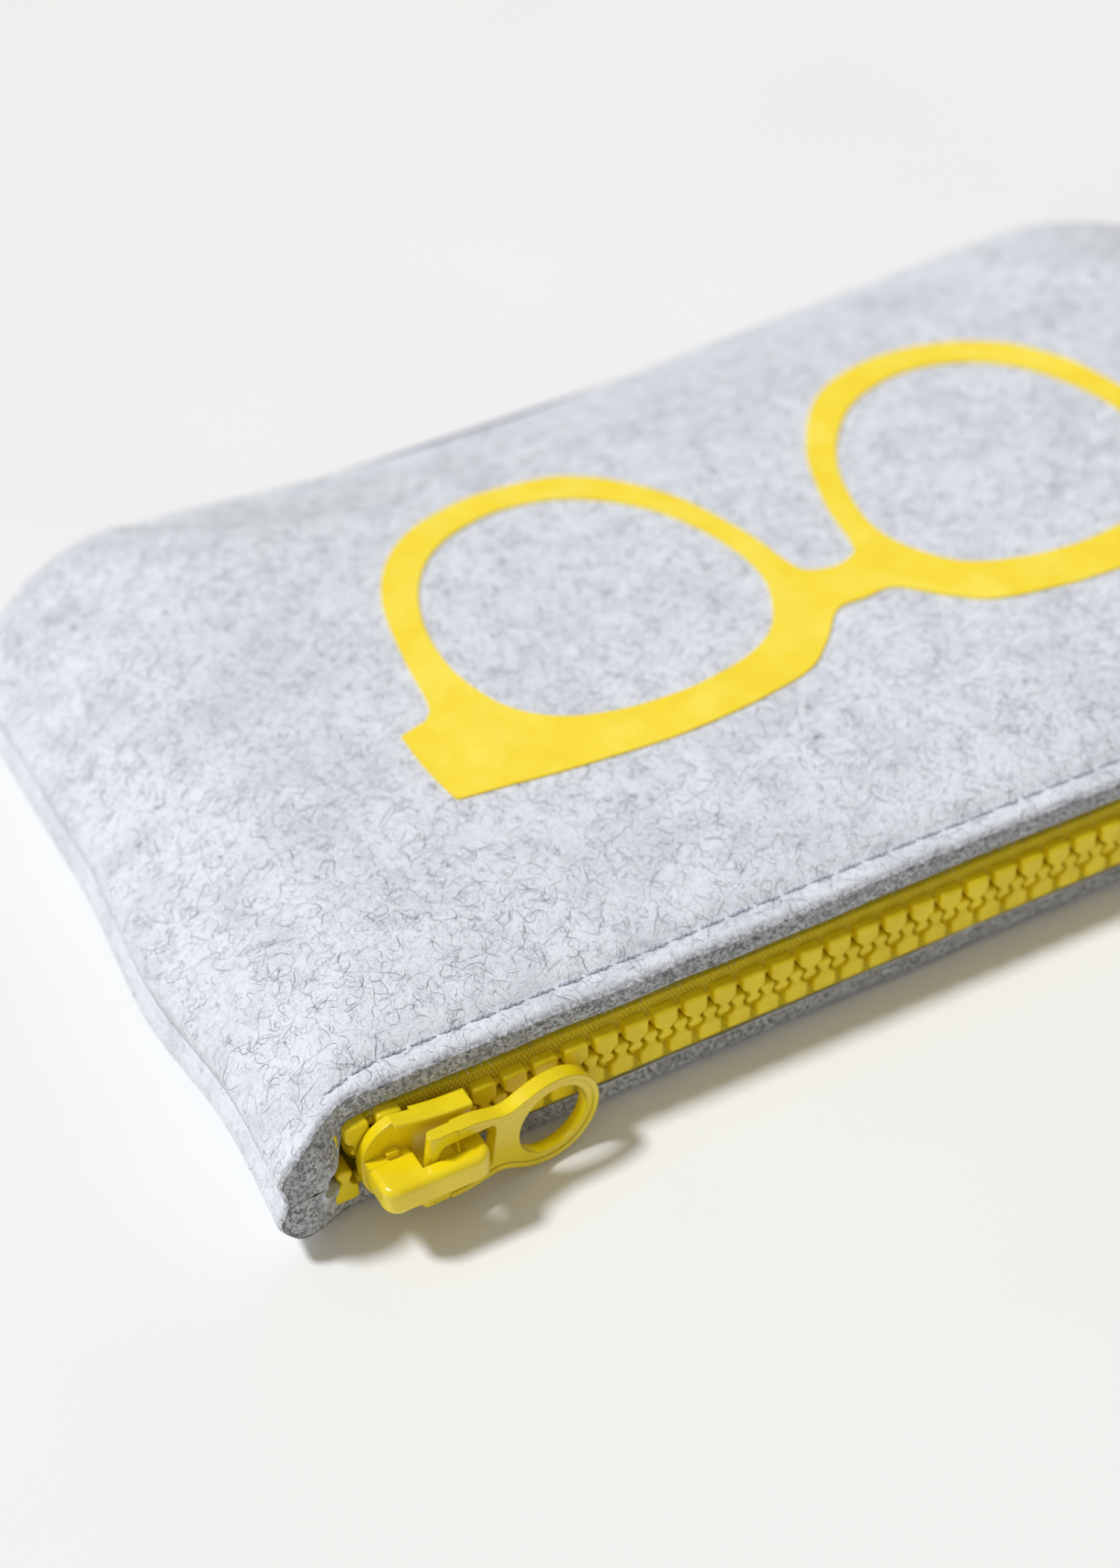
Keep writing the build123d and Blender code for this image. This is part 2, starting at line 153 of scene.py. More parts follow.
class Mesh:
    """Collects points and faces, and turns them into an object.

    Each point has a mark, which its material reads, and an anchor, a plan position kept beside it.
    """

    def __init__(self):
        self.points = []
        self.faces = []
        self.marks = []
        self.anchors = []
        self.count = 0

    def add_points(self, points, mark=0.0, anchor=None):
        points = np.asarray(points, float).reshape(-1, 3)
        first = self.count
        self.points.append(points)
        self.marks.append(np.broadcast_to(np.asarray(mark, float).ravel(), (len(points),)))
        anchor = points[:, :2] if anchor is None else np.broadcast_to(anchor, (len(points), 2))
        self.anchors.append(anchor)
        self.count += len(points)
        return np.arange(first, self.count)

    def add_grid(self, grid, closed=False, flip=False, mark=0.0, anchor=None):
        """Quads over a grid of points; closed joins each row's end to its start. Returns the point numbers."""
        ids = self.add_points(grid, mark, anchor).reshape(grid.shape[:2])
        self.add_quads(ids, closed, flip)
        return ids

    def add_quads(self, ids, closed=False, flip=False):
        if closed:
            ids = np.hstack([ids, ids[:, :1]])
        quads = grid_quads(ids)
        self.faces.append(quads[:, ::-1] if flip else quads)

    def add_tube(self, path, radius, sides=6, mark=0.0, anchor=None):
        """Tube with capped ends along a path; radius may be one number or one per point."""
        path = np.asarray(path, float)
        radius = np.broadcast_to(radius, len(path))
        tangent = np.gradient(path, axis=0)
        tangent /= np.linalg.norm(tangent, axis=1)[:, None] + 1e-9
        lead = np.array([0, 0, 1.0]) if abs(tangent[0, 2]) < 0.8 else np.array([0, 1.0, 0])
        across = np.cross(tangent, lead)
        across /= np.linalg.norm(across, axis=1)[:, None] + 1e-9
        upward = np.cross(across, tangent)
        angles = np.linspace(0, 2 * np.pi, sides, endpoint=False)
        ring = across[:, None] * np.cos(angles)[:, None] + upward[:, None] * np.sin(angles)[:, None]
        ids = self.add_grid(path[:, None] + ring * radius[:, None, None], closed=True, mark=mark,
                            anchor=anchor)
        for end, row in ((path[0], ids[0]), (path[-1], ids[-1][::-1])):
            centre = self.add_points(end[None], mark, anchor)[0]
            self.faces.append(np.stack([np.full(sides, centre), row, np.roll(row, -1)], -1))

    def all_faces(self):
        return [tuple(face) for block in self.faces for face in block.tolist()]

    def build(self, name, material):
        data = bpy.data.meshes.new(name)
        data.from_pydata((np.concatenate(self.points) * MM).tolist(), [], self.all_faces())
        data.validate()
        data.polygons.foreach_set("use_smooth", [True] * len(data.polygons))
        marks = data.attributes.new("mark", "FLOAT", "POINT")
        marks.data.foreach_set("value", np.concatenate(self.marks).astype(np.float32))
        obj = bpy.data.objects.new(name, data)
        bpy.context.scene.collection.objects.link(obj)
        data.materials.append(material)
        obj.data.update()
        return obj


def smooth_step(t):
    t = np.clip(t, 0, 1)
    return t * t * (3 - 2 * t)


def hump(value, middle, width):
    """Bell curve of height one."""
    return np.exp(-((value - middle) / width) ** 2)


def ride_front(obj):
    """Bakes the piece's placement into its mesh."""
    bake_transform(obj)


def settle(obj, side, node=None):
    """Puts a piece in place: side 1 has its placement baked into its mesh, side -1 is hung on the pouch's
    body.
    """
    if side > 0:
        ride_front(obj)
    else:
        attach(obj, "pouch")
    if node:
        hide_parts(node)


def spread(x, lag):
    """How far a row of teeth stands off its closed place, ahead of the slider."""
    return row_spread * smooth_step((slider_x + spread_start - lag - x) / pitch)


def curve_through(points, steps=12, closed=False):
    """Smooth line through a few points (Catmull-Rom)."""
    points = np.asarray(points, float)
    if closed:
        around = np.vstack([points[-1:], points, points[:2]])
    else:
        around = np.vstack([2 * points[:1] - points[1:2], points, 2 * points[-1:] - points[-2:-1]])
    t = np.linspace(0, 1, steps, endpoint=False)[:, None]
    pieces = []
    for a, b, c, d in zip(around[:-3], around[1:-2], around[2:-1], around[3:]):
        pieces.append(0.5 * (2 * b + (c - a) * t + (2 * a - 5 * b + 4 * c - d) * t ** 2
                             + (3 * b - a - 3 * c + d) * t ** 3))
    line = np.vstack(pieces)
    return line if closed else np.vstack([line, points[-1:]])


def lumps(points, scale, seed):
    """Smooth noise between -1 and 1 at each point; scale is the size of a lump in millimetres."""
    offset = Vector((seed * 13.7, seed * 5.1, seed * 9.3))
    return np.array([noise.noise(Vector(point) / scale + offset) for point in points.reshape(-1, 3)])


# ------------------------------------------------------------------------------- materials


class Nodes:
    """Short forms for building a node material."""

    def __init__(self, name):
        self.material = bpy.data.materials.new(name)
        self.material.use_nodes = True
        self.tree = self.material.node_tree
        self.shader = self.tree.nodes["Principled BSDF"]
        self.where = self.tree.nodes.new("ShaderNodeTexCoord").outputs["Object"]

    def set(self, **values):
        for name, value in values.items():
            self.put(self.shader.inputs[name.replace("_", " ")], value)

    def put(self, socket, value):
        if hasattr(value, "is_linked"):
            self.tree.links.new(value, socket)
        elif hasattr(value, "__len__") and len(value) == 3 and socket.type == "RGBA":
            socket.default_value = (*value, 1)
        else:
            socket.default_value = value

    def node(self, kind, output=0, **inputs):
        node = self.tree.nodes.new(kind)
        for name, value in inputs.items():
            self.put(node.inputs[name.replace("_", " ")], value)
        return node.outputs[output]

    def noise(self, size, detail=3.0, rough=0.5, distort=0.0, where=None):
        """Noise whose features are about size millimetres across."""
        return self.node("ShaderNodeTexNoise", Vector=where or self.where, Scale=1 / (size * MM),
                         Detail=detail, Roughness=rough, Distortion=distort)

    def math(self, operation, a, b=0.0, clamp=False):
        node = self.tree.nodes.new("ShaderNodeMath")
        node.operation = operation
        node.use_clamp = clamp
        self.put(node.inputs[0], a)
        self.put(node.inputs[1], b)
        return node.outputs[0]

    def ramp(self, value, low, high, to_low=0.0, to_high=1.0):
        node = self.tree.nodes.new("ShaderNodeMapRange")
        node.interpolation_type = "SMOOTHSTEP"
        for socket, number in zip(node.inputs, (value, low, high, to_low, to_high)):
            self.put(socket, number)
        return node.outputs[0]

    def mix(self, share, a, b):
        node = self.tree.nodes.new("ShaderNodeMix")
        node.data_type = "RGBA"
        self.put(node.inputs[0], share)
        self.put(node.inputs[6], a)
        self.put(node.inputs[7], b)
        return node.outputs[2]

    def stretch(self, scale, turn=(0, 0, 0)):
        return self.node("ShaderNodeMapping", Vector=self.where, Scale=scale, Rotation=turn)

    def bump(self, height, depth, strength=1.0, under=None):
        """Bump of depth millimetres over another bump."""
        values = dict(Height=height, Distance=depth * MM, Strength=strength)
        if under is not None:
            values["Normal"] = under
        return self.node("ShaderNodeBump", **values)

    def soft_edges(self, radius):
        """Normal that rounds sharp edges by a radius in millimetres."""
        node = self.tree.nodes.new("ShaderNodeBevel")
        node.samples = 6
        node.inputs["Radius"].default_value = radius * MM
        return node.outputs[0]

    def attribute(self, name):
        node = self.tree.nodes.new("ShaderNodeAttribute")
        node.attribute_name = name
        return node.outputs["Fac"]


def fibre_lines(n, size, width, turn):
    """Thin curling lines, the level lines of a noise, broken up by a coarser noise. 1 on a line."""
    level = n.noise(size, 2.0, 0.45, 0.9, n.stretch((1, 1, 1), turn))
    line = n.ramp(n.math("ABSOLUTE", n.math("SUBTRACT", level, 0.5)), 0.0, width, 1.0, 0.0)
    coarse = n.noise(size * 1.1, 1.0, 0.5, 0.0, n.stretch((1.3, 0.9, 1.1), (0.3, 1.1, turn[2])))
    return n.math("MULTIPLY", line, n.ramp(coarse, 0.49, 0.56))


def felt_material():
    n = Nodes("felt_melange")
    light = (0.80, 0.825, 0.89)
    shade = (0.47, 0.49, 0.55)
    dark = (0.12, 0.125, 0.155)
    mottle = n.ramp(n.noise(8.0, 5.0, 0.68, 0.8), 0.42, 0.66)
    colour = n.mix(n.math("MULTIPLY", mottle, 0.34), light, shade)
    haze = n.ramp(n.noise(1.6, 4.0, 0.7, 1.6), 0.5, 0.70)
    colour = n.mix(n.math("MULTIPLY", haze, 0.5), colour, shade)
    grains = n.ramp(n.noise(0.45, 3.0, 0.7, 1.0), 0.55, 0.74)
    colour = n.mix(n.math("MULTIPLY", grains, 0.5), colour, (0.30, 0.31, 0.36))
    for size, width, turn, share in ((2.2, 0.010, (0, 0, 0.4), 0.55), (1.5, 0.012, (0.4, 0.2, 1.6), 0.5),
                                     (3.2, 0.007, (0.9, 0.5, 2.7), 0.6)):
        line = fibre_lines(n, size, width, turn)
        colour = n.mix(n.math("MULTIPLY", line, share), colour, dark)
    pale = fibre_lines(n, 0.9, 0.03, (0.2, 0.8, 2.1))
    colour = n.mix(n.math("MULTIPLY", pale, 0.55), colour, (0.88, 0.89, 0.93))
    # The mark is one on the lip's cut face, fades out on the outer face next to the lip, and is a quarter on
    # the inner face. There it is painted shade inside the pouch.
    cut_and_inner_shade = n.attribute("mark")
    grain = n.ramp(n.noise(0.42, 3.0, 0.75, 0.3), 0.40, 0.58)
    clumps = n.ramp(n.noise(1.6, 3.0, 0.6), 0.35, 0.65)
    cut_and_shade_colour = n.mix(grain, (0.05, 0.052, 0.06), (0.58, 0.59, 0.61))
    cut_and_shade_colour = n.mix(n.math("MULTIPLY", clumps, 0.45), cut_and_shade_colour, (0.22, 0.225, 0.245))
    colour = n.mix(n.math("MULTIPLY", cut_and_inner_shade, 0.9), colour, cut_and_shade_colour)
    fine = n.bump(n.noise(0.35, 3.0, 0.7, 0.6), 0.12, 0.8)
    medium = n.bump(n.noise(1.4, 4.0, 0.65, 1.0), 0.25, 0.7, fine)
    n.set(Base_Color=colour, Roughness=0.95, Sheen_Weight=0.3, Sheen_Roughness=0.6, Specular_IOR_Level=0.12,
          Normal=n.bump(pale, 0.07, 0.6, medium))
    return n.material


def fibre_material():
    n = Nodes("loose_wool_fibres")
    shade = n.ramp(n.attribute("mark"), 0.55, 0.8)
    colour = n.mix(shade, (0.16, 0.165, 0.195), (0.84, 0.85, 0.90))
    colour = n.mix(n.math("MULTIPLY", n.noise(1.5), 0.3), colour, (0.3, 0.31, 0.35))
    n.set(Base_Color=colour, Roughness=0.8, Sheen_Weight=0.3, Normal=n.bump(n.noise(0.1), 0.01))
    return n.material


def thread_material():
    n = Nodes("spun_thread")
    ply = n.node("ShaderNodeTexWave", Vector=n.stretch((1, 1, 1), (0, 0, 0.9)), Scale=1 / (1.1 * MM),
                 Distortion=1.5)
    fuzz = n.noise(0.12, 2.0, 0.6)
    colour = n.mix(n.ramp(ply, 0.2, 0.8), (0.33, 0.335, 0.44), (0.55, 0.555, 0.66))
    n.set(Base_Color=colour, Roughness=0.55, Sheen_Weight=0.4, Normal=n.bump(fuzz, 0.03))
    return n.material


def film_material():
    n = Nodes("transfer_film")
    tone = n.ramp(n.noise(5.0, 3.0), 0.35, 0.7)
    colour = n.mix(tone, (0.96, 0.72, 0.035), (0.99, 0.79, 0.085))
    telegraph = n.bump(n.noise(0.9, 4.0, 0.6, 0.8), 0.10, 0.5)
    n.set(Base_Color=colour, Roughness=n.ramp(n.noise(0.8), 0.3, 0.7, 0.42, 0.6), Specular_IOR_Level=0.35,
          Normal=n.bump(n.noise(0.22, 2.0), 0.02, 0.5, telegraph))
    return n.material


def tape_material():
    n = Nodes("woven_tape")
    warp = n.node("ShaderNodeTexWave", Vector=n.where, Scale=0.157 / (0.31 * MM), Distortion=0.4,
                  Detail_Scale=2.0)
    tone = n.ramp(n.noise(2.5, 3.0, 0.6), 0.35, 0.7)
    colour = n.mix(tone, (0.84, 0.66, 0.008), (0.93, 0.74, 0.014))
    colour = n.mix(n.math("MULTIPLY", warp, 0.2), colour, (0.50, 0.37, 0.006))
    # Painted shade: the grooves between the ribs, which the tape mesh marks, are darkened here.
    colour = n.mix(n.math("MULTIPLY", n.attribute("mark"), 0.7), colour, (0.34, 0.24, 0.004))
    yarn = n.bump(n.noise(0.12, 2.0, 0.6, 0.0, n.stretch((1, 1, 0.35))), 0.04, 0.7)
    n.set(Base_Color=colour, Roughness=0.75, Sheen_Weight=0.12, Specular_IOR_Level=0.2, Normal=yarn)
    return n.material


def moulded_material():
    n = Nodes("moulded_teeth")
    tone = n.ramp(n.noise(3.0, 2.0), 0.35, 0.7)
    colour = n.mix(tone, (0.80, 0.61, 0.004), (0.88, 0.69, 0.008))
    n.set(Base_Color=colour, Roughness=n.ramp(n.noise(0.5, 3.0), 0.3, 0.7, 0.3, 0.45),
          Specular_IOR_Level=0.35, Subsurface_Weight=0.08, Subsurface_Radius=(0.6, 0.4, 0.03),
          Subsurface_Scale=0.0012,
          Normal=n.bump(n.noise(0.4, 3.0), 0.012, 0.5))
    return n.material


def lacquer_material():
    n = Nodes("yellow_lacquer")
    tone = n.ramp(n.noise(4.0, 2.0), 0.35, 0.7)
    colour = n.mix(tone, (0.82, 0.62, 0.003), (0.90, 0.70, 0.006))
    specks = n.ramp(n.noise(0.30, 1.0), 0.74, 0.78)
    edge = n.node("ShaderNodeNewGeometry", 7)
    wear = n.math("MULTIPLY", specks, n.ramp(edge, 0.5, 0.62), clamp=True)
    colour = n.mix(wear, colour, (0.10, 0.07, 0.01))
    n.set(Base_Color=colour, Roughness=n.ramp(n.noise(1.5, 3.0), 0.3, 0.7, 0.2, 0.32), Specular_IOR_Level=0.4,
          Coat_Weight=0.4, Coat_Roughness=0.1, Normal=n.bump(n.noise(1.2, 3.0), 0.02, 0.5, n.soft_edges(0.3)))
    return n.material


def steel_material():
    n = Nodes("spring_steel")
    brushed = n.noise(0.2, 3.0, 0.6, 0.0, n.stretch((0.1, 1, 1)))
    n.set(Base_Color=n.mix(brushed, (0.48, 0.48, 0.5), (0.66, 0.66, 0.68)), Metallic=1.0,
          Roughness=n.ramp(brushed, 0.3, 0.7, 0.22, 0.42), Normal=n.bump(brushed, 0.01))
    return n.material


felt_look = felt_material()
fibre_look = fibre_material()
thread_look = thread_material()
film_look = film_material()
tape_look = tape_material()
teeth_look = moulded_material()
lacquer_look = lacquer_material()
steel_look = steel_material()


# ------------------------------------------------------------------------------- felt shape


def outline_patch(u, v):
    """Plan position for shares u across and v from mouth to back, fitted to the round-cornered outline."""
    radius = corner_radius
    straight = back_y - radius - lip_y
    half_arc = radius * math.pi / 4
    side_length = straight + half_arc
    top_length = 2 * (half_arc + half_length - radius)

    def left(t):
        s = t * side_length
        turn = np.clip((s - straight) / radius, 0, math.pi / 4)
        x = -half_length + radius * (1 - np.cos(turn))
        y = lip_y + np.minimum(s, straight) + radius * np.sin(turn)
        return np.stack([x, y], -1)

    def top(t):
        s = t * top_length
        turn = math.pi / 4 + np.clip(s / radius, 0, math.pi / 4)
        late = math.pi / 4 + np.clip((top_length - s) / radius, 0, math.pi / 4)
        flat = np.clip(s - half_arc, 0, top_length - 2 * half_arc)
        x_start = -half_length + radius * (1 - np.cos(turn))
        x_end = half_length - radius * (1 - np.cos(late))
        x = np.where(s < top_length / 2, x_start, x_end)
        x = np.where((s >= half_arc) & (s <= top_length - half_arc), -half_length + radius + flat, x)
        y = back_y - radius * (1 - np.sin(np.minimum(turn, late)))
        return np.stack([x, y], -1)

    u_grid, v_grid = np.broadcast_arrays(u, v)
    u_grid, v_grid = u_grid[..., None], v_grid[..., None]
    mouth = np.stack([(2 * u - 1) * half_length, np.full_like(u, lip_y)], -1)
    side = left(v)
    other = side * [-1, 1]
    far = top(u)
    near_corner, far_corner = left(np.array(0.0)), left(np.array(1.0))
    bilinear = ((1 - u_grid) * (1 - v_grid) * near_corner + u_grid * (1 - v_grid) * near_corner * [-1, 1]
                + (1 - u_grid) * v_grid * far_corner + u_grid * v_grid * far_corner * [-1, 1])
    return (1 - v_grid) * mouth + v_grid * far + (1 - u_grid) * side + u_grid * other - bilinear


def seam_distance(plan):
    """Distance in from the side and back seams."""
    qx = np.abs(plan[..., 0]) - (half_length - corner_radius)
    qy = plan[..., 1] - (back_y - corner_radius)
    outside = np.hypot(np.maximum(qx, 0), np.maximum(qy, 0)) + np.minimum(np.maximum(qx, qy), 0)
    return np.maximum(corner_radius - outside, 0)


def roll(inward, width):
    """Quarter-round rise over a width in from the seam, from nothing to one."""
    return np.sqrt(np.maximum(1 - (1 - np.clip(inward / width, 0, 1)) ** 2, 0))


def pillow(u, v, side):
    """Outer face of a panel before stuffing: full height at the mouth, lower and softly lobed at the back."""
    plan = outline_patch(u, v)
    inward = seam_distance(plan)
    x, y = plan[..., 0], plan[..., 1]
    behind = smooth_step(y / 40)
    slope = 0.72 * roll(inward, back_roll) + 0.28 * smooth_step(inward / back_slope)
    rise = roll(inward, roll_width) * (1 - behind) + slope * behind
    z = (height - mid_z if side > 0 else mid_z) * rise
    if side > 0:
        # Fuller shoulders at the back corners.
        z = z + 1.2 * rise * hump(np.abs(x), 62, 17) * hump(y, 32, 16)
    # The back edge is drawn in, most of all left of its middle, and bulges at both corners.
    lobe = 0.8 * hump(np.abs(x), 60, 13) - 3.6 * hump(x, -16, 36) - 2.1
    # The sides are drawn in behind the zip's ends and all along the back half.
    squeeze = 0.017 * hump(y, -38, 11) + 0.02 * smooth_step((y + 25) / 25)
    # Both ends of the lip stand forward round the ends of the zip.
    forward = end_forward * smooth_step((np.abs(x) - 76) / 7) * hump(y, lip_y, 7)
    moved_y = y + lobe * smooth_step((y - 12) / 38) - forward
    return np.stack([x * (1 - squeeze), moved_y, mid_z + side * z], -1)


def felt_normal(u, v, side):
    """Outward direction of the rolled felt: sideways at the seam, up or down on the flat."""
    plan = outline_patch(u, v)
    tilt = 1 - np.clip(seam_distance(plan) / roll_width, 0, 1)
    qx = np.abs(plan[..., 0]) - (half_length - corner_radius)
    qy = plan[..., 1] - (back_y - corner_radius)
    out_x = np.where((qx > 0) | (qx > qy), np.maximum(qx, 0.01), 0)
    out_y = np.where((qy > 0) | (qy >= qx), np.maximum(qy, 0.01), 0)
    reach = np.hypot(out_x, out_y)
    return np.stack([np.sign(plan[..., 0]) * out_x / reach * tilt, out_y / reach * tilt,
                     side * np.sqrt(np.maximum(1 - tilt ** 2, 0))], -1)


def stuffing(steps=20, cap=2.6):
    """Cloth simulation of the closed pouch blown up a little. Returns how far the top and the bottom moved.

    The mouth, the seam and the part that rests on the table are held. No point moves further than cap.
    """
    across, along = 52, 30
    u = np.linspace(0, 1, across + 1)[:, None]
    v = np.linspace(0, 1, along + 1)[None, :]
    top, bottom = pillow(u, v, 1), pillow(u, v, -1)
    ids = np.arange(top.size // 3).reshape(top.shape[:2])
    seam = np.zeros(ids.shape, bool)
    seam[0], seam[-1], seam[:, -1] = True, True, True
    lower = np.where(seam, ids, ids + ids.size)
    start = np.vstack([top.reshape(-1, 3), bottom.reshape(-1, 3)])
    mouth = np.stack([ids[1:, 0], ids[:-1, 0], lower[:-1, 0], lower[1:, 0]], -1)
    faces = np.vstack([grid_quads(ids), grid_quads(lower)[:, ::-1], mouth]).tolist()
    # The solver is steadier on a larger pouch.
    scale = 10.0
    data = bpy.data.meshes.new("stuffing")
    data.from_pydata((start * MM * scale).tolist(), [], faces)
    obj = bpy.data.objects.new("stuffing", data)
    bpy.context.scene.collection.objects.link(obj)
    held = obj.vertex_groups.new(name="held")
    still_points = start[:, 2] < 1.0
    for line in (ids[:, 0], lower[:, 0], ids[seam]):
        still_points[line] = True
    held.add(np.nonzero(still_points)[0].tolist(), 1.0, "REPLACE")
    cloth = obj.modifiers.new("cloth", "CLOTH").settings
    cloth.quality = 8
    cloth.mass = 0.4
    cloth.tension_stiffness = 40
    cloth.compression_stiffness = 12
    cloth.shear_stiffness = 12
    cloth.bending_stiffness = 3
    cloth.vertex_group_mass = "held"
    cloth.use_pressure = True
    cloth.uniform_pressure_force = 3.0
    cloth.effector_weights.gravity = 0
    scene = bpy.context.scene
    for step in range(1, steps + 1):
        scene.frame_set(step)
    evaluated = obj.evaluated_get(bpy.context.evaluated_depsgraph_get()).data
    moved = np.array([vertex.co[:] for vertex in evaluated.vertices]) / MM / scale - start
    scene.frame_set(1)
    bpy.data.objects.remove(obj)
    length = np.linalg.norm(moved, axis=1)[:, None]
    moved = moved * np.minimum(1, cap / (length + 1e-9))
    return moved[ids], moved[lower]


def lookup(grid, u, v):
    """Bilinear value of a grid over the unit square."""
    rows, columns = grid.shape[0] - 1, grid.shape[1] - 1
    u, v = np.broadcast_arrays(u, v)
    a, b = u * rows, v * columns
    i = np.clip(a.astype(int), 0, rows - 1)
    j = np.clip(b.astype(int), 0, columns - 1)
    s, t = (a - i)[..., None], (b - j)[..., None]
    return ((1 - s) * (1 - t) * grid[i, j] + s * (1 - t) * grid[i + 1, j]
            + (1 - s) * t * grid[i, j + 1] + s * t * grid[i + 1, j + 1])


def rolled_edge(total, width):
    """Shares from the edge in, crowded together where the felt rolls over."""
    turn = np.linspace(0, math.pi / 2, 15)[:-1]
    return width * (1 - np.cos(turn)) / total


def side_steps(total, width, fine):
    """Shares from side to side: close together where both sides roll over."""
    edge = rolled_edge(total, width)
    middle = np.linspace(width / total, 1 - width / total, int((total - 2 * width) / fine))
    return np.concatenate([edge, middle, 1 - edge[::-1]])


def mouth_steps(total, width, fine=6.0):
    """Shares from the mouth to the back: close together at the lip and where the back rolls over."""
    lip = np.arange(0, fine, 0.3) / total
    middle = np.linspace(fine / total, 1 - width / total, 62)
    return np.concatenate([lip, middle, 1 - rolled_edge(total, width)[::-1]])


def flat_seam(points, side):
    """Keep a panel on its own side of the seam plane, and the back panel on the table."""
    z = points[..., 2]
    points[..., 2] = np.maximum(z, mid_z + seam_gap) if side > 0 else np.clip(z, 0, mid_z - seam_gap)


def stitch_line(x):
    """Where the topstitching runs: along the lip, then out towards it at the closed end."""
    return stitch_y - stitch_run_out * smooth_step((-x - (half_length - 14)) / 11)


class Skin:
    """The finished outer face of a panel, for laying things on it."""

    def __init__(self, u, v, points, normals, side, mesh):
        self.u, self.v, self.points, self.normals, self.side = u, v, points, normals, side
        self.tree = BVHTree.FromPolygons(np.concatenate(mesh.points).tolist(), mesh.all_faces())

    def at(self, u, v):
        """Points and normals for shares across and back."""
        rows = np.interp(u, self.u, np.arange(len(self.u))) / (len(self.u) - 1)
        columns = np.interp(v, self.v, np.arange(len(self.v))) / (len(self.v) - 1)
        return lookup(self.points, rows, columns), lookup(self.normals, rows, columns)

    def over(self, x, y, reach=60):
        """Point and outward normal at a plan position, or None beside the panel."""
        hit, normal, _, _ = self.tree.ray_cast(Vector((x, y, self.side * reach)), Vector((0, 0, -self.side)))
        if hit is None:
            return None
        return np.array(hit), np.array(normal) * (self.side if normal.z > 0 else -self.side)


def felt_panel(side, moved, word):
    """One felt panel: outer face, inner face a felt thickness in, raw lip at the mouth, turned seam edge."""
    u = side_steps(2 * half_length, roll_width, 0.85)[:, None]
    v = mouth_steps(back_y - lip_y, roll_width)[None, :]
    plan = outline_patch(u, v)
    inward = seam_distance(plan)
    normal = felt_normal(u, v, side)
    from_lip = plan[..., 1] - lip_y
    sideways = normal * [1, 1, 0]
    belly = top_belly if side > 0 else bottom_belly
    base = pillow(u, v, side) + lookup(moved, u, v) + sideways * (belly * roll(inward, roll_width))[..., None]
    # The turned seam draws the edge in along a narrow groove.
    outer = base - sideways * (seam_dip * hump(inward, 0, 0.35))[..., None]
    # Soft lumps in the felt, fading out at the seam so that both panels still meet.
    fade = smooth_step(inward / 4)
    relief = sum(depth * lumps(outer, size, seed + side) for size, depth, seed in felt_lumps)
    outer += normal * (fade * relief.reshape(fade.shape))[..., None]
    # The topstitching presses a furrow along the lip, deepest at each stitch hole.
    x = outer[..., 0]
    off = outer[..., 1] - stitch_line(x)
    holes = 0.8 + 0.2 * np.cos(2 * math.pi * x / (stitch_length + stitch_gap))
    furrow = hump(off, 0, furrow_width) * holes * smooth_step((half_length - 4 - np.abs(x)) / 4)
    swell = 0.25 * hump(off, 2.6, 1.6)
    outer += normal * ((swell - furrow_depth * furrow) * fade)[..., None]
    # The raw lip wanders a little and is rounded over.
    wander = lumps(np.stack([x, 0 * x, 0 * x + side], -1), 9.0, 7).reshape(x.shape)
    outer[..., 1] += 0.28 * wander * hump(from_lip, 0, 1.2)
    outer -= normal * (0.35 * hump(from_lip, 0, 0.32))[..., None]
    flat_seam(outer, side)
    # Folded corners make the felt look thicker at both ends of the lip.
    end = smooth_step((np.abs(x) - (half_length - 12)) / 8) * hump(from_lip, 0, 7)
    inner = base - normal * (felt + end_thicker * end)[..., None]
    flat_seam(inner, side)
    inner[..., 1] = np.where(from_lip < 0.01, outer[..., 1] + 0.05, inner[..., 1])
    mesh = Mesh()
    flip = side > 0
    outer_ids = mesh.add_grid(outer, flip=not flip, mark=hump(from_lip, 0, 0.45))
    # Painted shade: the inner face is marked a quarter, which darkens it towards the cut colour.
    inner_ids = mesh.add_grid(inner, flip=flip, mark=0.25)
    # The cut face of the lip, from the outer to the inner face.
    rows = []
    strip_steps = 8
    for step in range(1, strip_steps):
        t = step / strip_steps
        between = outer[:, 0] * (1 - t) + inner[:, 0] * t
        between[:, 1] -= 0.22 * math.sin(math.pi * t) + 0.26 * lumps(between, 0.9, 20 + side)
        rows.append(mesh.add_points(between, 1.0))
    mesh.add_quads(np.stack([outer_ids[:, 0], *rows, inner_ids[:, 0]], 0), flip=flip)
    for edge, turned in ((0, flip), (-1, not flip)):
        mesh.add_quads(np.stack([outer_ids[edge], inner_ids[edge]], 0), flip=turned)
    mesh.add_quads(np.stack([outer_ids[:, -1], inner_ids[:, -1]], 0), flip=flip)
    settle(mesh.build("felt_" + word, felt_look), side, "felt_" + word + "_panel")
    return Skin(u.ravel(), v.ravel(), outer, normal, side, mesh)


front_skin, back_skin = (felt_panel(side, moved, word) for side, moved, word in
                         zip((1, -1), stuffing(), ("front", "back")))


# ------------------------------------------------------------------------------- stitching


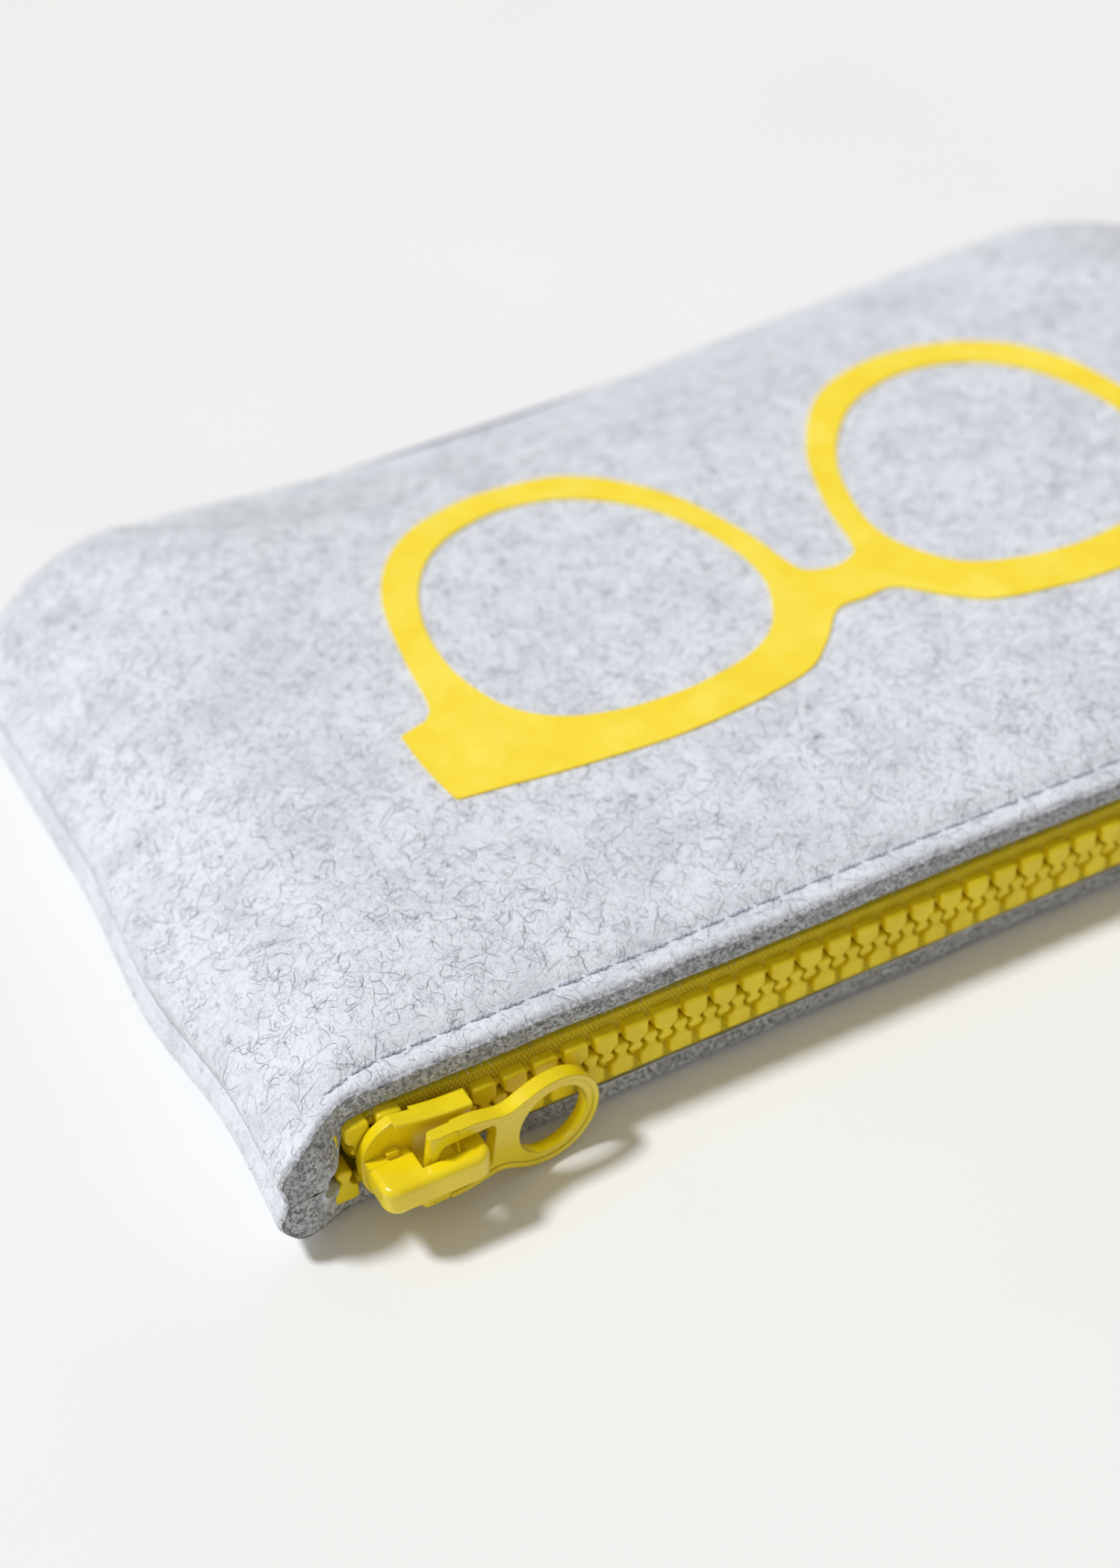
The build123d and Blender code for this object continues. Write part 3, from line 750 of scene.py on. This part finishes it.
def topstitch(skin, word):
    """A row of two-ply stitches lying in the furrow, each dipping into its holes."""
    mesh = Mesh()
    x = -half_length + stitch_start
    while x < half_length - stitch_stop:
        share = np.linspace(0, 1, 9)
        path = []
        for t in share:
            along = x + stitch_length * t
            hit = skin.over(along, float(stitch_line(np.array(along))))
            if hit is None:
                break
            point, normal = hit
            path.append(point + normal * (stitch_arch * math.sin(math.pi * t) ** 0.7 - stitch_sink))
        if len(path) == len(share):
            path = np.array(path)
            for turn in (0, math.pi):
                angle = share * ply_twist + turn
                offset = np.stack([0 * angle, np.cos(angle), np.sin(angle)], -1) * ply_offset
                mesh.add_tube(path + offset, ply_radius, 6, anchor=path[len(path) // 2][:2])
        x += stitch_length + stitch_gap
    settle(mesh.build(word + "_stitches", thread_look), skin.side, word + "_topstitch")


topstitch(front_skin, "front")
topstitch(back_skin, "back")


# ------------------------------------------------------------------------------- loose fibres


def ribbons(mesh, points, normals, width, mark):
    """Flat ribbons along many short paths at once: points is paths x steps x 3."""
    tangent = np.gradient(points, axis=1)
    across = np.cross(tangent, normals)
    across /= np.linalg.norm(across, axis=2)[..., None] + 1e-9
    taper = np.sin(np.linspace(0.25, math.pi - 0.25, points.shape[1]))[None, :, None]
    across *= taper * width[:, None, None]
    pairs = np.stack([points - across, points + across], 2)
    ids = mesh.add_points(pairs, np.repeat(mark, pairs.shape[1] * 2)).reshape(pairs.shape[:3])
    quads = np.stack([ids[:, :-1, 0], ids[:, 1:, 0], ids[:, 1:, 1], ids[:, :-1, 1]], -1)
    mesh.faces.append(quads.reshape(-1, 4))


def curled_fibres(mesh, skin, count, seed):
    """Curly single fibres lying on the felt."""
    chance = np.random.RandomState(seed)
    steps = 8
    length = chance.uniform(*fibre_length, count)
    heading = chance.uniform(0, 2 * math.pi, count)
    curl = chance.normal(0, 1.1, count)
    wave = chance.normal(0, 1.4, count)
    s = np.linspace(0, 1, steps)[None, :]
    angle = heading[:, None] + curl[:, None] * s * 2 + wave[:, None] * np.sin(s * math.pi)
    step = length[:, None] / steps
    x = chance.uniform(-half_length, half_length, count)[:, None] + np.cumsum(np.cos(angle) * step, 1)
    y = chance.uniform(lip_y + 0.4, back_y, count)[:, None] + np.cumsum(np.sin(angle) * step, 1)
    u = np.clip((x + half_length) / (2 * half_length), 0.002, 0.998)
    v = np.clip((y - lip_y) / (back_y - lip_y), 0.001, 0.998)
    points, normals = skin.at(u, v)
    lift = 0.03 + chance.uniform(0, 0.12, count)[:, None] * np.sin(s * math.pi)
    ribbons(mesh, points + normals * lift[..., None], normals, chance.uniform(*fibre_width, count),
            chance.uniform(0, 1, count))


def lip_fibres(mesh, skin, count, seed):
    """Short hairs standing out of the raw cut edge."""
    chance = np.random.RandomState(seed)
    steps = 5
    u = chance.uniform(0.003, 0.997, count)
    root, normal = skin.at(u, 0 * u)
    root = root - normal * chance.uniform(0.1, felt - 0.1, count)[:, None]
    way = np.stack([chance.normal(0, 0.6, count), -np.ones(count), chance.normal(0, 0.6, count)], -1)
    bend = chance.normal(0, 0.5, (count, 3))
    s = np.linspace(0, 1, steps)[None, :, None]
    reach = chance.uniform(*hair_reach, count)[:, None, None]
    points = root[:, None] + reach * (way[:, None] * s + bend[:, None] * s ** 2)
    facing = np.broadcast_to(np.array([0.2, -0.3, 1.0]), points.shape)
    points[..., 2] = np.maximum(points[..., 2], 0.05)
    ribbons(mesh, points, facing, chance.uniform(*hair_width, count), chance.uniform(0, 1, count))


for skin, word, count in ((front_skin, "front", front_fibres), (back_skin, "back", back_fibres)):
    fibre_mesh = Mesh()
    curled_fibres(fibre_mesh, skin, count, 11 + skin.side)
    lip_fibres(fibre_mesh, skin, lip_hairs, 31 + skin.side)
    settle(fibre_mesh.build(word + "_fibres", fibre_look), skin.side)


# ------------------------------------------------------------------------------- glasses picture


def inside(points, loop):
    """Whether each point lies inside a closed loop."""
    x, y = points[:, 0], points[:, 1]
    crossed = np.zeros(len(points), int)
    for (ax, ay), (bx, by) in zip(loop, np.roll(loop, -1, 0)):
        spans = (ay > y) != (by > y)
        crossed += spans & (x < ax + (y - ay) * (bx - ax) / (by - ay + 1e-12))
    return crossed % 2 == 1


def mirrored(line):
    return line[::-1] * [-1, 1]


def picture():
    """Glasses shape in thin film, laid over the felt so that it follows its lumps."""
    brow = curve_through([(0, -15.2), (3.6, -15.4), (7.6, -19.5), (12.4, -22.6), (24.6, -24.4), (37.0, -23.7),
                          (50.7, -21.9)])
    temple = curve_through([(50.9, -21.6), (51.5, -16.0), (51.4, -10.8)], 6)
    rim = curve_through([(48.2, -9.9), (46.9, -7.6), (45.7, 1.0), (43.4, 10.2), (38.6, 17.0), (31.0, 21.0),
                         (23.0, 21.6), (15.0, 18.2), (8.6, 10.2), (5.2, 1.2), (3.6, -7.0), (2.2, -8.6),
                         (0, -9.2)])
    half = np.vstack([brow, temple, rim])
    hole = curve_through([(7.3, -4.0), (8.9, -11.2), (13.6, -16.4), (23.6, -18.8), (34.4, -17.2),
                          (40.3, -12.0), (42.5, -3.0), (40.6, 7.0), (35.2, 14.4), (26.4, 17.4), (17.2, 14.6),
                          (10.3, 6.6)], closed=True)
    loops = [np.vstack([half, mirrored(half)[1:-1]]), hole, mirrored(hole)]
    border = np.vstack(loops)
    gx, gy = np.meshgrid(np.arange(-52, 52, film_mesh), np.arange(-26, 23, film_mesh))
    fill = np.stack([gx.ravel(), gy.ravel()], -1)
    lift = np.array([0, 0, film_lift])

    def in_film(points):
        return inside(points, loops[0]) & ~inside(points, loops[1]) & ~inside(points, loops[2])

    def draped(points):
        return np.array([front_skin.over(x, y)[0] for x, y in points])

    fill = fill[in_film(fill)]
    clear = np.min(np.linalg.norm(fill[:, None] - border[None], axis=2), axis=1) > 0.35
    plan = np.vstack([border, fill[clear]])
    edges = []
    first = 0
    for loop in loops:
        ring = np.arange(first, first + len(loop))
        edges += list(zip(ring.tolist(), np.roll(ring, -1).tolist()))
        first += len(loop)
    found, _, triangles, _, _, _ = delaunay_2d_cdt([Vector(p) for p in plan], edges, [], 1, 1e-5)
    found = np.array([point[:] for point in found])
    triangles = np.array(triangles)
    triangles = triangles[in_film(found[triangles].mean(axis=1))]
    mesh = Mesh()
    ids = mesh.add_points(draped(found) + lift)
    corners = found[triangles]
    turn = np.cross(corners[:, 1] - corners[:, 0], corners[:, 2] - corners[:, 0])
    mesh.faces.append(np.where(turn[:, None] > 0, ids[triangles], ids[triangles][:, ::-1]))
    for loop in loops:
        ring = draped(loop)
        mesh.add_grid(np.stack([ring + lift, ring - [0, 0, film_skirt]]), closed=True)
    settle(mesh.build("glasses_picture", film_look), 1, "glasses_motif")


picture()


# ------------------------------------------------------------------------------- zip


def room_inside(points, side):
    """Height free for the tape above or below the seam, inside the felt."""
    outer_height = height - mid_z if side > 0 else mid_z
    inward = seam_distance(points[..., :2]) - felt - 1.0
    return np.maximum((outer_height - felt - 0.5) * roll(inward, roll_width), 0.1)


def zip_tape(side, lag):
    """Woven tape: cord edge, ribbed strip, then folded back inside the lip."""
    ends = tape_end - tape_short
    x = np.arange(-ends, ends, 0.11)[:, None]
    strip = np.linspace(0, 1, 22)[None, :]
    face_count = strip.size
    stand = spread(x, lag)
    z = (cord_z + stand) + (tape_bend - cord_z - stand) * strip
    weave = np.cos(2 * math.pi * x / weave_pitch + math.pi * np.floor(z / weave_pitch))
    rib = (rib_low + rib_high * weave) * np.abs(np.sin(math.pi * z / weave_pitch))
    face_y = zip_y - tape_thickness / 2
    face = np.stack([x + 0 * z, face_y - rib, mid_z + side * z], -1)
    turn = np.linspace(0.2, 1, 6)[None, :] * math.pi / 2
    radius = tape_level - tape_bend + tape_thickness / 2
    bend = np.stack([x + 0 * turn, face_y + radius * (1 - np.cos(turn)) + 0 * x,
                     mid_z + side * (tape_bend + radius * np.sin(turn)) + 0 * x], -1)
    run = np.linspace(1.5, tape_depth, 6)[None, :]
    level = tape_bend + radius
    flat = np.stack([x + 0 * run, zip_y + run + 0 * x, mid_z + side * level + 0 * x * run], -1)
    outer = np.concatenate([face, bend, flat], 1)
    outer[..., 2] = mid_z + side * np.minimum(side * (outer[..., 2] - mid_z), room_inside(outer, side))
    shift = np.zeros_like(outer)
    bend_end = face_count + turn.size
    shift[:, :face_count, 1] = tape_thickness
    shift[:, face_count:bend_end, 1] = tape_thickness * np.cos(turn)
    shift[:, face_count:bend_end, 2] = -side * tape_thickness * np.sin(turn)
    shift[:, bend_end:, 2] = -side * tape_thickness
    mesh = Mesh()
    anchor = np.stack([outer[..., 0], np.full(outer.shape[:2], zip_y)], -1).reshape(-1, 2)
    # Painted shade: the mark is high in the grooves between the ribs, where the tape material darkens its
    # colour.
    groove_shade = np.zeros(outer.shape[:2])
    groove_shade[:, :face_count] = 1 - rib / (rib_low + rib_high)
    outer_ids = mesh.add_grid(outer, flip=side < 0, mark=groove_shade, anchor=anchor)
    inner_ids = mesh.add_grid(outer + shift, flip=side > 0, anchor=anchor)
    edges = ((np.s_[:, 0], side < 0), (np.s_[:, -1], side > 0), (np.s_[0], side > 0), (np.s_[-1], side < 0))
    for edge, turned in edges:
        mesh.add_quads(np.stack([outer_ids[edge], inner_ids[edge]], 0), flip=turned)
    return mesh


def tape_cord(side, lag):
    """Bead along the edge of the tape, wrapped so that it shows small bumps."""
    x = np.arange(-tape_end, tape_end, 0.2)
    path = np.stack([x, np.full_like(x, zip_y), mid_z + side * (cord_z + spread(x, lag))], -1)
    mesh = Mesh()
    mesh.add_tube(path, cord_radius + 0.035 * np.cos(2 * math.pi * x / cord_wrap), 10)
    mesh.anchors = [np.stack([block[:, 0], np.full(len(block), zip_y)], -1) for block in mesh.points]
    return mesh


def tooth_ring():
    """Front outline of a tooth: round head past the chain's middle, narrow neck, square body."""
    head = [(0.0, -0.86), (0.34, -0.84), (0.62, -0.70), (0.78, -0.46), (0.74, -0.20), (0.58, -0.02),
            (0.47, 0.14)]
    neck = [(0.45, 0.36), (0.48, 0.56), (0.60, 0.76), (0.84, 0.96), (1.08, 1.10)]
    body = [(1.19, 1.26), (1.225, 1.5), (1.225, 2.1), (1.225, 2.6), (1.15, 2.82), (0.95, 2.91), (0.0, 2.92)]
    right = np.array(head + neck + body)
    return np.vstack([right, right[::-1][1:-1] * [-1, 1]])


def tooth_sections():
    """The outline repeated from the tooth's front face to its back, drawn in at both faces to round them."""
    ring = tooth_ring()
    middle = np.array([0.0, 1.1])
    size = np.abs(ring - middle).max(axis=0)
    sections = []
    for depth, inset, share in ((1.40, 0.34, 0.01), (1.40, 0.34, 0.45), (1.40, 0.34, 0.85), (1.40, 0.34, 1),
                                (1.39, 0.22, 1), (1.34, 0.11, 1), (1.25, 0.03, 1), (1.12, 0.0, 1),
                                (-1.12, 0.0, 1), (-1.30, 0.05, 1), (-1.40, 0.26, 1), (-1.40, 0.26, 0.01)):
        section = middle + (ring - middle) * (1 - inset / size) * share
        out = depth * (1 - 0.12 * smooth_step((0.7 - section[:, 1]) / 0.6))
        sections.append(np.stack([section[:, 0], -out, section[:, 1]], -1))
    return np.array(sections)


def tooth_row(side, lag, count):
    """One row of teeth on its cord, standing off and turning with the cord ahead of the slider."""
    mesh = Mesh()
    sections = tooth_sections()
    reach = 0.8
    for index in range(count):
        x = (index - (count - 1) / 2) * pitch
        rise = float(spread(np.array(x), lag))
        slope = float(spread(np.array(x + reach), lag) - spread(np.array(x - reach), lag)) / (2 * reach)
        turn = 0.6 * math.atan(slope) + 0.02 * math.sin(index * 2.3)
        along, up = sections[..., 0], sections[..., 2] - cord_z
        z = cord_z + rise + along * math.sin(turn) + up * math.cos(turn)
        grid = np.stack([x + along * math.cos(turn) - up * math.sin(turn), zip_y + sections[..., 1],
                         mid_z + side * z], -1)
        mesh.add_grid(grid, closed=True, flip=side > 0, anchor=(x, zip_y))
    return mesh


for side, lag, word, count in ((1, 0.0, "front", front_count), (-1, pitch / 2, "back", back_count)):
    for mesh, name, look, slot, node in (
            (zip_tape(side, lag), "_woven_tape", tape_look, "zip_tape", "_tape"),
            (tape_cord(side, lag), "_cord", tape_look, "zip_tape", "_tape_cord"),
            (tooth_row(side, lag, count), "_tooth_row", teeth_look, "zip_plastic", "_teeth")):
        settle(mesh.build(word + name, look), side, word + node)


def rounded_block(low, high, power=0.35):
    """Grid of points over a block with well rounded edges."""
    around = np.linspace(0, 2 * math.pi, 32, endpoint=False)[None, :]
    rise = np.linspace(-math.pi / 2 + 0.02, math.pi / 2 - 0.02, 17)[:, None]

    def bulge(value):
        return np.sign(value) * np.abs(value) ** power

    unit = np.stack([bulge(np.cos(rise)) * bulge(np.cos(around)), bulge(np.cos(rise)) * bulge(np.sin(around)),
                     bulge(np.sin(rise)) + 0 * around], -1)
    return (low + high) / 2 + unit * (high - low) / 2


stop_mesh = Mesh()
stop_grid = stop_mesh.add_grid(rounded_block(*node_box("front_top_stop")), closed=True, flip=True)
stop_mesh.faces += [stop_grid[:1], stop_grid[-1:, ::-1]]
settle(stop_mesh.build("front_stop", teeth_look), 1, "front_top_stop")


# ------------------------------------------------------------------------------- carried CAD nodes


def paint(names, material):
    for name in names:
        obj = frame["nodes"][name]
        obj.data.materials.clear()
        obj.data.materials.append(material)


paint(["slider_body", "slider_crown", "pull_tab"], lacquer_look)
paint(["lock_spring"], steel_look)
paint(["seam_thread"], thread_look)
paint(["back_top_stop", "bottom_stop"], teeth_look)


# ------------------------------------------------------------------------------- studio


def floor():
    n = Nodes("paper_sweep")
    tone = n.ramp(n.noise(60.0), 0.3, 0.7)
    n.set(Base_Color=n.mix(tone, (0.86, 0.86, 0.85), (0.88, 0.88, 0.87)), Roughness=0.7,
          Normal=n.bump(n.noise(0.8, 3.0), 0.01, 0.3))
    half = 3.0
    data = bpy.data.meshes.new("floor")
    data.from_pydata([(-half, -half, 0), (half, -half, 0), (half, half, 0), (-half, half, 0)], [],
                     [(0, 1, 2, 3)])
    obj = bpy.data.objects.new("floor", data)
    obj.location.z = -0.0002
    data.materials.append(n.material)
    bpy.context.scene.collection.objects.link(obj)


def area_light(name, place, target, size, power, colour):
    data = bpy.data.lights.new(name, "AREA")
    data.shape = "DISK"
    data.size = size
    data.energy = power
    data.color = colour
    obj = bpy.data.objects.new(name, data)
    obj.location = place
    obj.rotation_euler = (Vector(target) - Vector(place)).to_track_quat("-Z", "Y").to_euler()
    bpy.context.scene.collection.objects.link(obj)


def studio():
    floor()
    world = bpy.data.worlds.new("studio")
    world.use_nodes = True
    nodes, links = world.node_tree.nodes, world.node_tree.links
    nodes["Background"].inputs["Color"].default_value = (1.0, 0.955, 0.84, 1)
    nodes["Background"].inputs["Strength"].default_value = 0.33
    # The camera itself sees a pale backdrop beyond the floor.
    backdrop = nodes.new("ShaderNodeBackground")
    backdrop.inputs["Color"].default_value = (0.91, 0.91, 0.905, 1)
    seen = nodes.new("ShaderNodeMixShader")
    links.new(nodes.new("ShaderNodeLightPath").outputs["Is Camera Ray"], seen.inputs[0])
    links.new(nodes["Background"].outputs[0], seen.inputs[1])
    links.new(backdrop.outputs[0], seen.inputs[2])
    links.new(seen.outputs[0], nodes["World Output"].inputs["Surface"])
    bpy.context.scene.world = world
    key = bpy.data.lights.new("key", "SUN")
    key.energy = 2.5
    key.angle = math.radians(10.5)
    key.color = (0.955, 0.98, 1.02)
    lamp = bpy.data.objects.new("key", key)
    lamp.rotation_euler = Vector((1.0, -0.6, -2.0)).to_track_quat("-Z", "Y").to_euler()
    bpy.context.scene.collection.objects.link(lamp)
    area_light("fill", (-0.50, -0.90, 0.55), (0, 0, 0), 0.9, 1.0, (0.97, 0.98, 1.0))
    bpy.context.scene.view_settings.view_transform = "Standard"
    bpy.context.scene.view_settings.look = "None"


def camera():
    """Camera above the closed end of the zip, looking down across the pouch to its far corner."""
    data = bpy.data.cameras.new("camera")
    data.sensor_fit = "VERTICAL"
    data.sensor_height = 36
    data.lens = 68.1
    data.clip_start = 0.01
    forward = Vector((0.34069, 0.66444, -0.66517))
    upward = Vector((0.33465, 0.57545, 0.74623))
    rightward = forward.cross(upward)
    place = Vector((-138.7, -214.9, 207.4)) * MM
    turn = Matrix((rightward, upward, -forward)).transposed().to_4x4()
    obj = bpy.data.objects.new("camera", data)
    obj.matrix_world = Matrix.Translation(place) @ turn
    focus = bpy.data.objects.new("focus", None)
    focus.location = hinge_point * MM
    bpy.context.scene.collection.objects.link(focus)
    data.dof.use_dof = True
    data.dof.focus_object = focus
    data.dof.aperture_fstop = 16
    bpy.context.scene.collection.objects.link(obj)
    bpy.context.scene.camera = obj


studio()
camera()
